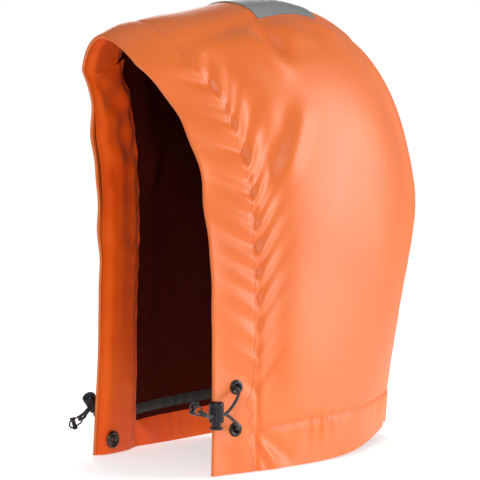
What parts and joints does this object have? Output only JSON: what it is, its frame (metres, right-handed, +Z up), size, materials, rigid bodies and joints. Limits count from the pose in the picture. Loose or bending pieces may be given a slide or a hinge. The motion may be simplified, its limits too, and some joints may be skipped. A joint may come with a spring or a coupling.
{
  "type": "detachable hood",
  "caption": "Detachable high-visibility rain hood with a drawcord face opening, barrel cord locks, a dark mesh lining and a reflective crown patch.",
  "frame": {"origin": "under the middle of the hood, on the surface that its hem stands on", "axes": "+Z up towards the crown, -Y out of the face opening, +X to the wearer's left"},
  "size_m": [0.1902, 0.368, 0.4049],
  "materials": {
    "outer_cloth": "woven polyester in high-visibility orange, coated",
    "inner_cloth": "the same cloth's inner face",
    "mesh_lining": "dark knitted mesh",
    "reflective_film": "retroreflective grey film on cloth",
    "binding_tape": "black woven tape",
    "elastic_cord": "braided elastic",
    "lock_plastic": "glossy moulded nylon",
    "eyelet_enamel": "black enamelled brass",
    "stud_metal": "gunmetal",
    "spring_steel": "drawn wire"
  },
  "bodies": {
    "hood": {"left_side_panel": "outer_cloth", "left_brim_band": "outer_cloth", "left_facing": "inner_cloth", "left_neck_band": "outer_cloth", "left_neck_facing": "inner_cloth", "left_side_lining": "mesh_lining", "right_side_panel": "outer_cloth", "right_brim_band": "outer_cloth", "right_facing": "inner_cloth", "right_neck_band": "outer_cloth", "right_neck_facing": "inner_cloth", "right_side_lining": "mesh_lining", "top_brim_band": "outer_cloth", "top_facing": "inner_cloth", "centre_panel": "outer_cloth", "back_neck_band": "outer_cloth", "centre_lining": "mesh_lining", "back_neck_facing": "inner_cloth", "reflective_patch": "reflective_film", "neck_binding": "binding_tape", "face_drawcord": "elastic_cord", "left_upper_eyelet": "eyelet_enamel", "left_upper_washer": "eyelet_enamel", "left_lower_eyelet": "eyelet_enamel", "left_lower_washer": "eyelet_enamel", "left_stud_socket": "stud_metal", "left_stud_backing": "stud_metal", "left_cord_tail": "elastic_cord", "right_upper_eyelet": "eyelet_enamel", "right_upper_washer": "eyelet_enamel", "right_lower_eyelet": "eyelet_enamel", "right_lower_washer": "eyelet_enamel", "right_stud_socket": "stud_metal", "right_stud_backing": "stud_metal", "right_cord_tail": "elastic_cord"},
    "left_lock": {"left_lock_barrel": "lock_plastic", "left_lock_spring": "spring_steel"},
    "left_plunger": {"left_lock_plunger": "lock_plastic"},
    "left_pull": {"left_pull_loop": "elastic_cord", "left_pull_bar": "lock_plastic"},
    "right_lock": {"right_lock_barrel": "lock_plastic", "right_lock_spring": "spring_steel"},
    "right_plunger": {"right_lock_plunger": "lock_plastic"},
    "right_pull": {"right_pull_loop": "elastic_cord", "right_pull_bar": "lock_plastic"}
  },
  "joints": [
    {"name": "left_lock_slide", "type": "slide", "parent": "hood", "child": "left_lock", "axis": [0, -1, 0], "range_m": [-0.002, 0.003]},
    {"name": "left_plunger_press", "type": "slide", "parent": "left_lock", "child": "left_plunger", "axis": [0, 0, 1], "range_m": [0, 0.003], "stiffness_N_per_m": 600, "springref_m": -0.001, "deforming": ["left_lock_spring"]},
    {"name": "left_pull_swing", "type": "hinge", "parent": "hood", "child": "left_pull", "pos_m": [0.08494, -0.15361, 0.05535], "axis": [1, 0, 0], "range_deg": [-40, 40]},
    {"name": "right_lock_slide", "type": "slide", "parent": "hood", "child": "right_lock", "axis": [0, -0.7902, -0.6129], "range_m": [-0.002, 0.003]},
    {"name": "right_plunger_press", "type": "slide", "parent": "right_lock", "child": "right_plunger", "axis": [0, -0.6129, 0.7902], "range_m": [0, 0.003], "stiffness_N_per_m": 600, "springref_m": -0.001, "deforming": ["right_lock_spring"]},
    {"name": "right_pull_swing", "type": "hinge", "parent": "hood", "child": "right_pull", "pos_m": [-0.08594, -0.13381, 0.03055], "axis": [1, 0, 0], "range_deg": [-40, 40]}
  ]
}
